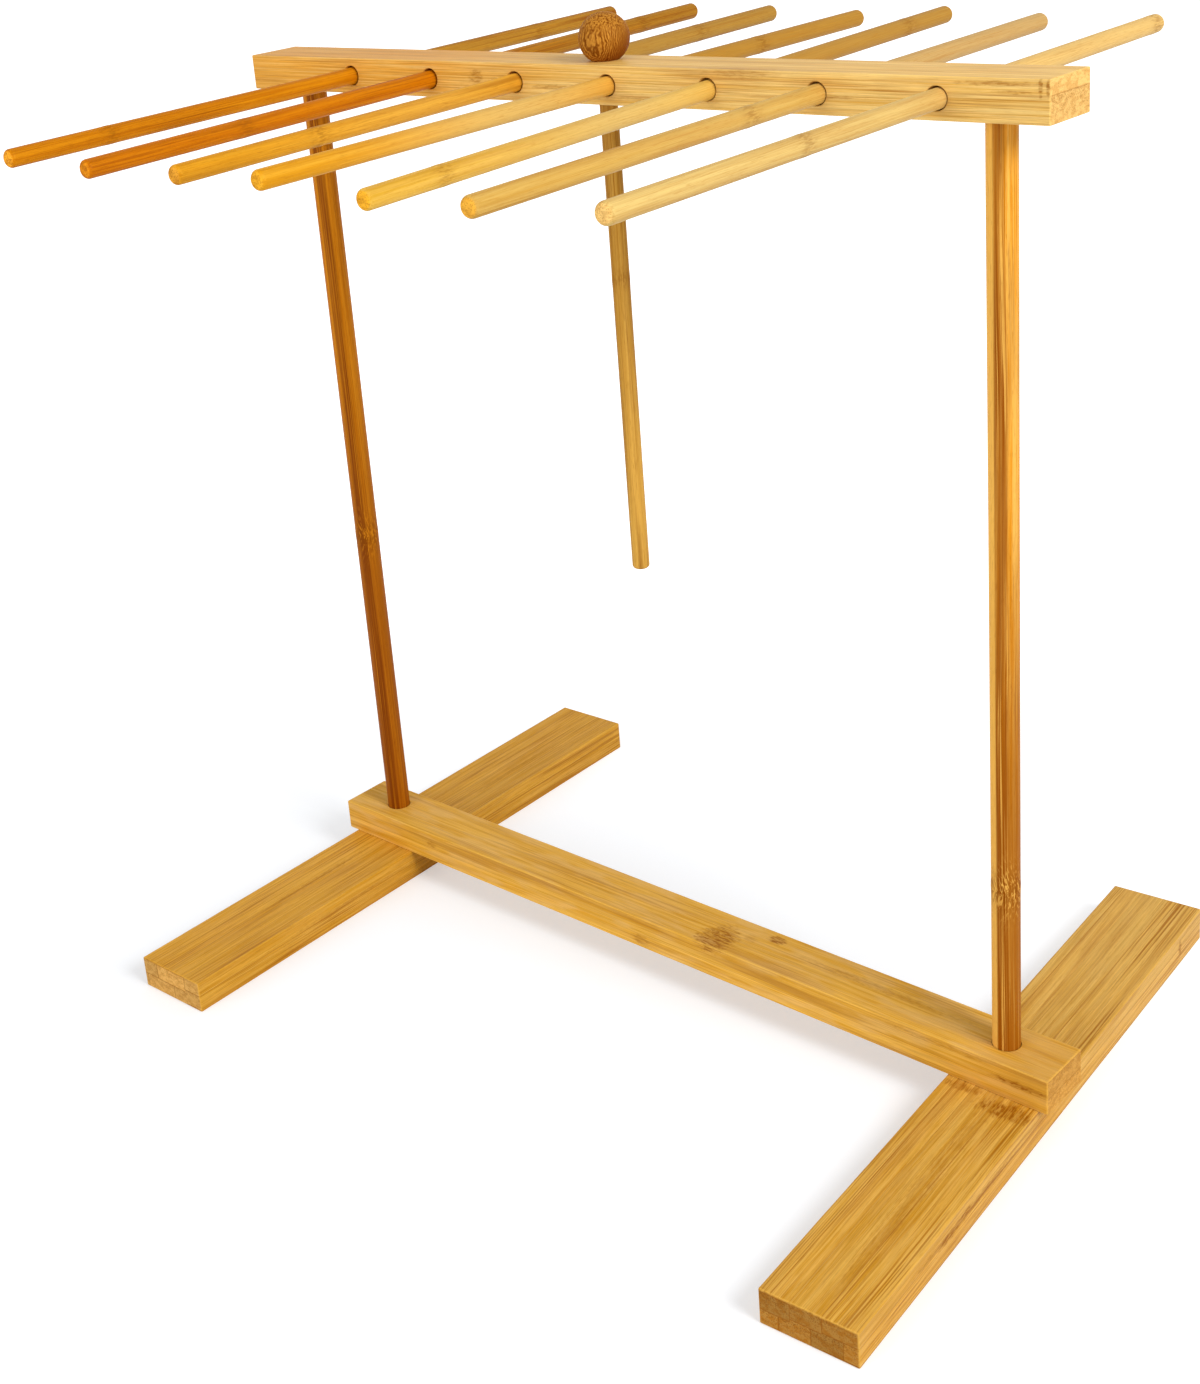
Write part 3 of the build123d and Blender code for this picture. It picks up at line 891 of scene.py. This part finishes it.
BEAM_MARKS = (
    Mark(across=-14, depth=4.8, along=206.2, wide=2.5, deep=3.8, long=1.1, strength=0.85),
    Mark(across=-14, depth=5.0, along=209.2, wide=2.5, deep=3.6, long=1.1, strength=0.85),
    Mark(across=-14, depth=6.0, along=190, wide=2, deep=1.2, long=18, strength=0.55),
    Mark(across=-14, depth=3.0, along=196, wide=2, deep=0.9, long=11, strength=0.50),
    Mark(across=-14, depth=1.5, along=-61, wide=2.5, deep=3.5, long=4.5, strength=0.65),
    Mark(across=-14, depth=-1.5, along=-14, wide=2.5, deep=1.3, long=17, strength=0.45),
    Mark(across=-14, depth=-5, along=-8, wide=2.5, deep=1.2, long=20, strength=0.40),
    Mark(across=-13, depth=7.5, along=80, wide=3, deep=3, long=22, strength=0.40),
    Mark(across=-14, depth=-1, along=120, wide=2.5, deep=1, long=16, strength=0.35),
    Mark(across=-14, depth=-5, along=30, wide=2.5, deep=1, long=22, strength=0.35),
)
BEAM_LOOK = {
    "pale": shade(240, 202, 122), "honey": shade(218, 166, 72), "brown": shade(164, 102, 20),
    "end": shade(224, 178, 104), "strip_width": 60.0, "layer_depth": 12.0, "layer_shift": 0.83,
    "glue_lines": 0.5, "bands": 0.44, "lines": 0.42, "mottle": 0.30, "pores": 0.2, "edge_light": 0.4,
    "far_start": 10.0, "far_end": -110.0, "far_amount": 0.75, "far": shade(222, 150, 42),
}


def make_beam():
    """The beam, bored for the rods, the wand and the heads of the posts."""
    centre, half = box_centre("top_beam")
    cutters = []
    for place, axis in rod_places.values():
        hole = place - axis * (place.y / axis.y)
        hole.z = centre.z
        cutters.append(drill(hole, (0, 1, 0), ROD_HOLE_RADIUS, 2 * half.y, flare=HOLE_EASING))
    wand_hole = Vector((box_centre("wand_stick")[0].x, 0, centre.z))
    cutters.append(drill(wand_hole, UP, WAND_HOLE_RADIUS, 2 * half.z, flare=HOLE_EASING))
    reach = 2 * (POST_HEAD_SEAT - CUT_OVERRUN)
    for place, _ in post_places.values():
        seat = Vector((place.x, 0, centre.z - half.z))
        cutters.append(drill(seat, UP, post_radius + POST_HEAD_CLEARANCE, reach))
    add_bar("top_beam", cutters, BEAM_MARKS, BEAM_LOOK, seed=8.0)


def countersink(x):
    """The sink in a foot's sole, as a turned cutter that starts below the sole."""
    wide = SCREW_HEAD_RADIUS + SCREW_HEAD_CLEARANCE
    tip = SCREW_SINK + wide - SCREW_RADIUS
    profile = [(0, -MM), (wide, -MM), (wide, SCREW_SINK), (SCREW_RADIUS, tip), (0, tip)]
    return bring_in("sink", turned_mesh("sink", profile, (x, 0, 0)))


def make_foot(node, body, marks, look, seed):
    """A foot, which lies along Y, turned a little on its screw."""
    centre, half = box_centre(node)
    turn = math.radians(FOOT_TURN_DEGREES[node])
    placement = grain_frame(centre, (-math.sin(turn), math.cos(turn), 0))
    size = (FOOT_WIDTH / 2, half.z, FOOT_LENGTH / 2)
    shank = drill(centre, UP, SCREW_RADIUS + SCREW_CLEARANCE, 2 * half.z)
    cutters = [shank, countersink(centre.x)]
    add_board(node, body, placement, size, FOOT_EDGE_RADIUS, seed, cutters, marks, look)


LEFT_FOOT_MARKS = (
    Mark(across=2, depth=8, along=-62, wide=2, deep=2, long=45, strength=0.45),
    Mark(across=-6, depth=8, along=90, wide=2, deep=2, long=40, strength=0.35),
    Mark(across=-21, depth=2, along=-60, wide=2, deep=1, long=60, strength=0.35),
)
LEFT_FOOT_LOOK = {
    "pale": shade(218, 164, 62), "honey": shade(198, 138, 26), "end": shade(206, 158, 82),
    "strip_width": 20.5, "bands": 0.75, "lines": 0.75, "mottle": 0.25, "mottle_tint": shade(214, 160, 74),
    "pores": 0.35, "edge_light": 0.45,
}
RIGHT_FOOT_MARKS = (
    Mark(across=-9.5, depth=8, along=-22.5, wide=15, deep=3, long=6.5, strength=1.0),
    Mark(across=12, depth=8, along=-17, wide=11, deep=2, long=3, strength=0.70),
    Mark(across=-21, depth=1.2, along=-95, wide=4, deep=2, long=11, strength=1.0),
    Mark(across=-21, depth=2.6, along=-80, wide=4, deep=1.6, long=8, strength=1.0),
    Mark(across=-21, depth=2.0, along=-74, wide=4, deep=2, long=50, strength=0.60),
    Mark(across=-21, depth=1, along=138, wide=3, deep=5, long=2, strength=0.9),
    Mark(across=-3, depth=8, along=-70, wide=4.5, deep=3, long=85, strength=0.34),
)
RIGHT_FOOT_LOOK = {
    "pale": shade(220, 170, 76), "honey": shade(194, 136, 28), "end": shade(162, 115, 46),
    "strip_width": 14.0, "bands": 0.42, "lines": 0.70, "mottle": 0.25, "pores": 0.30, "edge_light": 0.6,
    "end_grain": 0.75, "fleck_stretch": 0.22,
    "far_start": -10.0, "far_end": 120.0, "far_amount": 0.45, "far": shade(222, 180, 100),
}

make_stretcher()
make_beam()
make_foot("foot_left", "left_foot", LEFT_FOOT_MARKS, LEFT_FOOT_LOOK, seed=5.0)
make_foot("foot_right", "right_foot", RIGHT_FOOT_MARKS, RIGHT_FOOT_LOOK, seed=11.0)


# Round pieces of bamboo

# A dowel is cut from one slat, so its strip and layer are wider than the dowel itself, and it has no edges
DOWEL_LOOK = {
    "strip_width": 400.0, "layer_depth": 400.0, "layer_shift": 0.5, "glue_lines": 0.0, "joint_scatter": 0.0,
    "tone_spread": 0.0, "edge_light": 0.0, "pores": 0.4,
}
NO_EDGES = (1, 1, 1)


def add_dowel(node, body, name, placement, spacing, shift, seed, ripple_seed, look, **sizes):
    """A dowel of bamboo for one node. The spacing and the shift of its cane's joints are in millimetres, and
    hold for its look and for its shape."""
    material = bamboo_finish(
        name + "_bamboo", bamboo, placement, NO_EDGES, seed=seed, joint_spacing=spacing, joint_shift=shift,
        **DOWEL_LOOK, **look,
    )
    piece = make_dowel(
        name + "_wood", dowel, placement, material, joint_spacing=spacing * MM, joint_shift=shift * MM,
        seed=ripple_seed, **sizes,
    )
    hand_over(piece, node, body)


# Each post's one joint of the cane, in millimetres above its middle, the sides of the post that the cane's
# dark skin and a painted highlight take, as turns about the post in degrees, and the colours of its wood
Post = namedtuple("Post", "joint dark_side pale_side pale honey brown far")
POSTS = {
    "left": Post(
        joint=-35.0, dark_side=-62, pale_side=None,
        pale=(204, 128, 20), honey=(180, 104, 2), brown=(114, 50, 0), far=(150, 80, 6),
    ),
    "right": Post(
        joint=-117.7, dark_side=-72, pale_side=-124,
        pale=(238, 182, 84), honey=(216, 138, 20), brown=(138, 70, 0), far=(150, 82, 0),
    ),
}
POST_LOOK = {
    "joint_width": 8.0, "joint_ring": 0.0, "joint_lean": 0.35, "joint_strength": 0.8, "fleck_stretch": 0.15,
    "bands": 0.60, "lines": 0.75, "skin_edge": 0.86, "skin_tone": 0.62, "end": shade(200, 140, 60),
    "far_start": 90.0, "far_end": -110.0, "far_amount": 0.90, "shine": 0.05,
}
POST_JOINT_SPACING_MM = 420.0
FIRST_POST_SEED = 21


def side_vector(degrees, radius):
    """For a dowel: its dot product with a place on the skin is 1 on that side and -1 on the other."""
    if degrees is None:
        return 0, 0, 0
    turn = math.radians(degrees)
    return math.cos(turn) * MM / radius, math.sin(turn) * MM / radius, 0


for seed, (side, post) in enumerate(POSTS.items(), start=FIRST_POST_SEED):
    centre, half = post_places[side]
    look = {
        **POST_LOOK, "skin": side_vector(post.dark_side, post_radius),
        "pale_side": side_vector(post.pale_side, post_radius),
        "pale": shade(*post.pale), "honey": shade(*post.honey), "brown": shade(*post.brown),
        "far": shade(*post.far),
    }
    add_dowel(
        f"post_{side}", "frame", f"post_{side}", grain_frame(centre, UP, BACK),
        spacing=POST_JOINT_SPACING_MM, shift=POST_JOINT_SPACING_MM / 2 - post.joint,
        seed=float(seed), ripple_seed=float(seed), look=look,
        length=2 * half.z, radius=post_radius, end_rounding=POST_END_RADIUS, rings=420, sides=56,
    )

# Drying rods, each of its own piece of cane: warm brown on the left, golden in the middle, pale on the
# right. Towards the back each turns to a duller, darker colour, partly its own and partly painted shade.
# The place of a joint is measured from the rod's middle, and waist is how far the rod's dull stretch before
# the beam is seen.
Rod = namedtuple("Rod", "honey pale far brown end lines bands spacing joint waist")
RODS = (
    Rod(
        honey=(188, 108, 0), pale=(210, 132, 8), far=(172, 128, 44), brown=(130, 56, 0),
        end=(236, 160, 42), lines=0.9, bands=0.65, spacing=262, joint=-136, waist=0.0,
    ),
    Rod(
        honey=(184, 98, 0), pale=(206, 122, 4), far=(162, 116, 34), brown=(124, 50, 0),
        end=(214, 132, 20), lines=0.8, bands=0.60, spacing=250, joint=143, waist=0.0,
    ),
    Rod(
        honey=(204, 136, 16), pale=(224, 160, 38), far=(164, 126, 58), brown=(146, 80, 0),
        end=(216, 150, 46), lines=0.6, bands=0.55, spacing=240, joint=125, waist=0.2,
    ),
    Rod(
        honey=(210, 142, 14), pale=(224, 162, 40), far=(166, 122, 50), brown=(170, 100, 10),
        end=(226, 162, 40), lines=0.3, bands=0.30, spacing=320, joint=105, waist=0.75,
    ),
    Rod(
        honey=(208, 158, 46), pale=(226, 180, 78), far=(166, 120, 50), brown=(174, 110, 20),
        end=(230, 166, 42), lines=0.3, bands=0.25, spacing=296, joint=-148, waist=0.85,
    ),
    Rod(
        honey=(190, 142, 56), pale=(206, 166, 84), far=(194, 158, 100), brown=(174, 112, 30),
        end=(226, 166, 58), lines=0.6, bands=0.45, spacing=236, joint=-37, waist=0.4,
    ),
    Rod(
        honey=(200, 160, 88), pale=(220, 190, 116), far=(220, 180, 106), brown=(172, 112, 38),
        end=(236, 194, 116), lines=0.5, bands=0.35, spacing=260, joint=-82, waist=0.0,
    ),
)
# The back of each rod turns to its far colour, partly its own duller tone and partly painted shade
ROD_LOOK = {"joint_strength": 0.45, "far_start": -10.0, "far_end": 70.0, "far_amount": 0.85, "shine": 0.05}
ROD_SEEDS_FROM = 40.0

for number, (centre, axis) in rod_places.items():
    rod = RODS[number - 1]
    look = {
        **ROD_LOOK, "lines": rod.lines, "bands": rod.bands, "waist_amount": rod.waist,
        "honey": shade(*rod.honey), "pale": shade(*rod.pale), "brown": shade(*rod.brown),
        "far": shade(*rod.far), "end": shade(*rod.end),
    }
    add_dowel(
        f"drying_rod_{number}", f"rod_{number}", f"rod_{number}", grain_frame(centre, axis),
        spacing=rod.spacing, shift=rod.spacing / 2 - rod.joint,
        seed=ROD_SEEDS_FROM + number, ripple_seed=float(number), look=look,
        length=ROD_LENGTH, radius=ROD_RADIUS, end_rounding=ROD_END_RADIUS, rings=360, sides=44,
    )


# Wand

WAND_LOOK = {
    "pale": shade(194, 146, 62), "honey": shade(164, 112, 28), "brown": shade(130, 76, 8),
    "end": shade(206, 158, 84), "bands": 0.8, "lines": 1.1, "joint_strength": 0.5, "shine": 0.06,
    "far_start": 60.0, "far_end": -120.0, "far_amount": 0.65, "far": shade(226, 174, 78),
}
WAND_JOINT_SPACING_MM = 150.0
WAND_JOINT_SHIFT_MM = 60.0
WAND_SEED = 61.0
KNOB_ARC_STEPS = 48


def make_stick():
    """The wand's stick."""
    centre, half = box_centre("wand_stick")
    add_dowel(
        "wand_stick", "wand", "wand_stick", grain_frame(centre, UP, BACK),
        spacing=WAND_JOINT_SPACING_MM, shift=WAND_JOINT_SHIFT_MM,
        seed=WAND_SEED, ripple_seed=WAND_SEED, look=WAND_LOOK,
        length=2 * half.z, radius=half.x, end_rounding=WAND_END_RADIUS, rings=300, sides=44,
    )


def make_knob():
    """The knob, with its flat and the blind hole that takes the stick."""
    stick_centre, stick_half = box_centre("wand_stick")
    low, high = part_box("wand_ball")
    centre = Vector((stick_centre.x, 0, high.z - BALL_RADIUS))
    flat_drop = centre.z - low.z
    flat_angle = math.acos(flat_drop / BALL_RADIUS)
    socket_radius = stick_half.x + BALL_SOCKET_CLEARANCE
    socket_top = BALL_SOCKET_DEPTH - flat_drop
    profile = [(0, socket_top), (socket_radius, socket_top), (socket_radius, -flat_drop)]
    for step in range(KNOB_ARC_STEPS):
        angle = flat_angle + (math.pi - flat_angle) * step / KNOB_ARC_STEPS
        profile.append((BALL_RADIUS * math.sin(angle), -BALL_RADIUS * math.cos(angle)))
    profile.append((0, BALL_RADIUS))
    mesh = turned_mesh("wand_ball", profile, centre)
    mesh.shade_smooth()
    mesh.set_sharp_from_angle(angle=SHARP_FROM)
    knob = link(mesh, "wand_ball_wood", knob_finish(centre))
    hand_over(knob, "wand_ball", "wand")


make_stick()
make_knob()


# Screws keep their CAD shape and get a plated finish

steel = steel_finish()
for slot in frame["nodes"]["foot_screws"].material_slots:
    slot.material = steel


# Floor, light and camera

def seen_by_eye(w):
    """1 for the rays of the camera, of a mirror or of glass, and 0 for those that carry light."""
    rays = w.node("ShaderNodeLightPath").outputs
    mirrored = w.math("MAXIMUM", rays["Is Glossy Ray"], rays["Is Transmission Ray"])
    return w.math("MAXIMUM", rays["Is Camera Ray"], mirrored)


FLOOR_REACH = 6.0
WHITE = (1, 1, 1, 1)
# The floor as it sends light on to the rack, and as it is seen, when it also glows a little
FLOOR_PALE = (0.80, 0.80, 0.81, 1)
FLOOR_SEEN = (0.64, 0.66, 0.69, 1)
FLOOR_GLOW = 0.385
# Between these two distances from a place before the rack the glow grows to that of the white ground
FLOOR_FADE = (0.20, 0.85)
FLOOR_FADE_FROM = (0.0, -0.2, 0.0)


def white_floor():
    """White paper that keeps the rack's shadow."""
    mesh = bpy.data.meshes.new("floor")
    corners = [(x * FLOOR_REACH, y * FLOOR_REACH, 0) for x, y in ((-1, -1), (1, -1), (1, 1), (-1, 1))]
    mesh.from_pydata(corners, [], [(0, 1, 2, 3)])
    material = bpy.data.materials.new("white_paper")
    w = open_tree(material)
    seen = seen_by_eye(w)
    place = w.node("ShaderNodeTexCoord").outputs["Object"]
    far = w.vector_math("LENGTH", w.vector_math("SUBTRACT", place, FLOOR_FADE_FROM))
    glow = w.add(w.spread(far, *FLOOR_FADE, 0.0, 1 - FLOOR_GLOW), FLOOR_GLOW)
    paper = w.node("ShaderNodeBsdfDiffuse", {"Color": w.blend(seen, FLOOR_PALE, FLOOR_SEEN)})
    lamp = w.node("ShaderNodeEmission", {"Color": WHITE, "Strength": w.times(seen, glow)})
    both = w.node("ShaderNodeAddShader", {0: paper.outputs[0], 1: lamp.outputs[0]})
    w.node("ShaderNodeOutputMaterial", {"Surface": both.outputs[0]})
    link(mesh, "floor", material)


WORLD_LIGHT = 0.52


def white_world():
    """White where it is seen, and dimmer as a light."""
    world = bpy.data.worlds.new("studio")
    bpy.context.scene.world = world
    w = open_tree(world)
    strength = w.add(w.times(seen_by_eye(w), 1 - WORLD_LIGHT), WORLD_LIGHT)
    ground = w.node("ShaderNodeBackground", {"Color": WHITE, "Strength": strength})
    w.node("ShaderNodeOutputWorld", {"Surface": ground.outputs[0]})


# Two round lamps: one high on the right, one low before the rack. Powers are in watts.
KEY_LAMP = {"place": (1.75, -0.2, 1.4), "aim": (0, 0, 0.2), "size": 0.9, "power": 31}
FRONT_LAMP = {"place": (-0.3, -2.2, 0.9), "aim": (0, 0, 0.25), "size": 1.6, "power": 22}


def soft_lamp(name, place, aim, size, power):
    data = bpy.data.lights.new(name, "AREA")
    data.shape = "DISK"
    data.size = size
    data.energy = power
    lamp = bring_in(name, data)
    lamp.location = place
    lamp.rotation_mode = "QUATERNION"
    lamp.rotation_quaternion = (Vector(place) - Vector(aim)).to_track_quat("Z", "Y")


# Camera, as found from the photograph: place in metres, turns in radians, focal length and the middle of the
# lens in the photograph's pixels
PHOTO_WIDTH_PX = 1200
PHOTO_HEIGHT_PX = 1384
LENS_MIDDLE_PX = (480, 490)
FOCAL_LENGTH_PX = 1986.0
CAMERA_PLACE = Vector((0.5459, -0.6319, 0.5451))
CAMERA_YAW = -0.7944
CAMERA_DIP = 0.3375
CAMERA_ROLL = -0.0977
SENSOR_MM = 36.0


def photo_camera():
    level_ahead = Vector((math.sin(CAMERA_YAW), math.cos(CAMERA_YAW), 0))
    ahead = level_ahead * math.cos(CAMERA_DIP) - Vector((0, 0, math.sin(CAMERA_DIP)))
    level = Vector((math.cos(CAMERA_YAW), -math.sin(CAMERA_YAW), 0))
    upright = level.cross(ahead)
    right = math.cos(CAMERA_ROLL) * level + math.sin(CAMERA_ROLL) * upright
    up = math.cos(CAMERA_ROLL) * upright - math.sin(CAMERA_ROLL) * level
    data = bpy.data.cameras.new("photo_camera")
    data.sensor_width = SENSOR_MM
    data.lens = FOCAL_LENGTH_PX / PHOTO_HEIGHT_PX * SENSOR_MM
    data.shift_x = (PHOTO_WIDTH_PX / 2 - LENS_MIDDLE_PX[0]) / PHOTO_HEIGHT_PX
    data.shift_y = (LENS_MIDDLE_PX[1] - PHOTO_HEIGHT_PX / 2) / PHOTO_HEIGHT_PX
    camera = bring_in("photo_camera", data)
    camera.matrix_world = Matrix.LocRotScale(CAMERA_PLACE, Matrix((right, up, -ahead)).transposed(), None)
    bpy.context.scene.camera = camera


white_floor()
white_world()
soft_lamp("key", **KEY_LAMP)
soft_lamp("front", **FRONT_LAMP)
photo_camera()
bpy.context.scene.view_settings.view_transform = "Standard"
